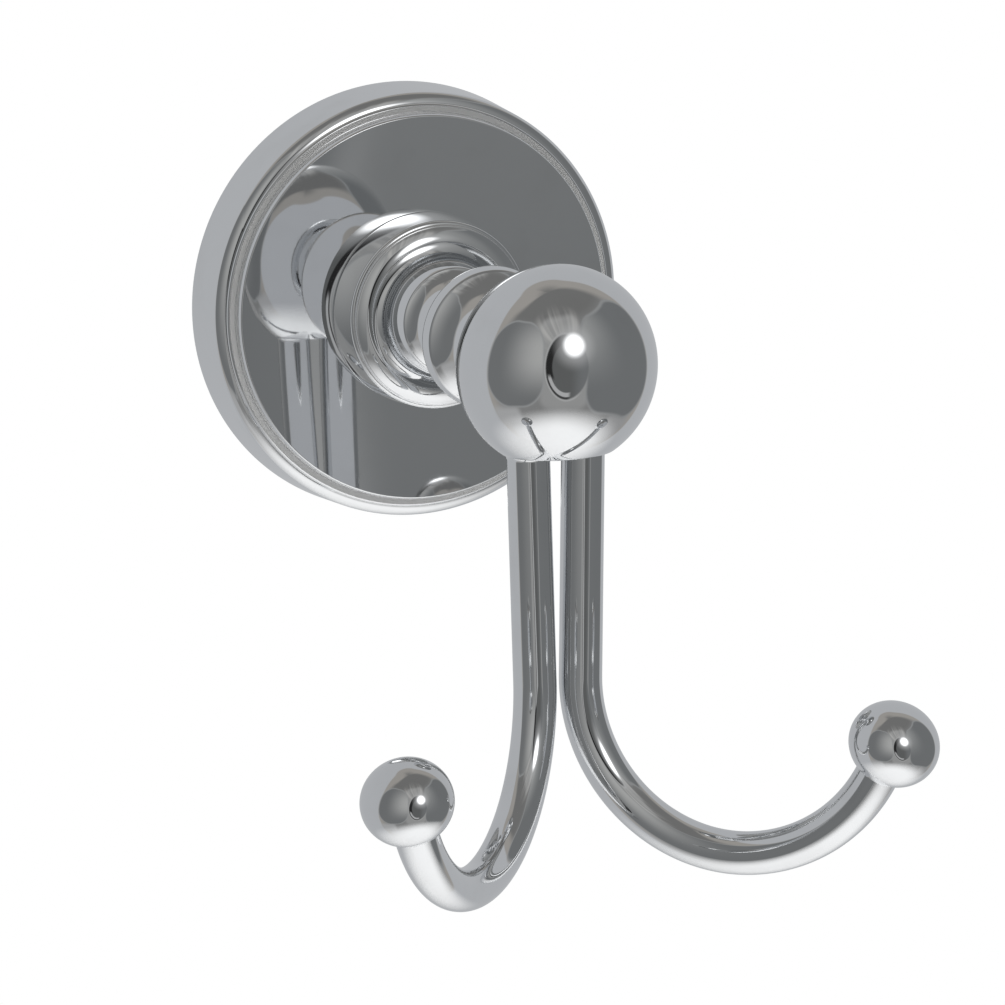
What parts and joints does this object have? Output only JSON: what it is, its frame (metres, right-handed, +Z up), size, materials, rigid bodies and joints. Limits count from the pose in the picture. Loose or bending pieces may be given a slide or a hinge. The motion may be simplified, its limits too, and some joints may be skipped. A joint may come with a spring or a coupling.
{
  "type": "double robe hook",
  "caption": "Wall-mounted double robe hook: round stepped backplate, turned post with rings, large ball and bent round-bar hooks that end in small balls.",
  "frame": {"origin": "centre of the backplate's wall face, midway between the two wall-screw holes", "axes": "+Y into the wall along the post's axis, so the hook stands out towards -Y; +Z up; +X to the right for someone facing the wall"},
  "size_m": [0.083, 0.0993, 0.1013],
  "materials": {
    "chrome": "polished chrome plate",
    "zinc_steel": "dull zinc-plated steel"
  },
  "bodies": {
    "root": {"backplate": "chrome", "post": "chrome", "ball": "chrome", "left_hook_rod": "chrome", "right_hook_rod": "chrome", "left_tip_ball": "chrome", "right_tip_ball": "chrome", "wall_bracket": "zinc_steel", "set_screw": "zinc_steel", "post_screw": "zinc_steel", "lock_washer": "zinc_steel", "ball_stud": "zinc_steel"}
  },
  "joints": []
}
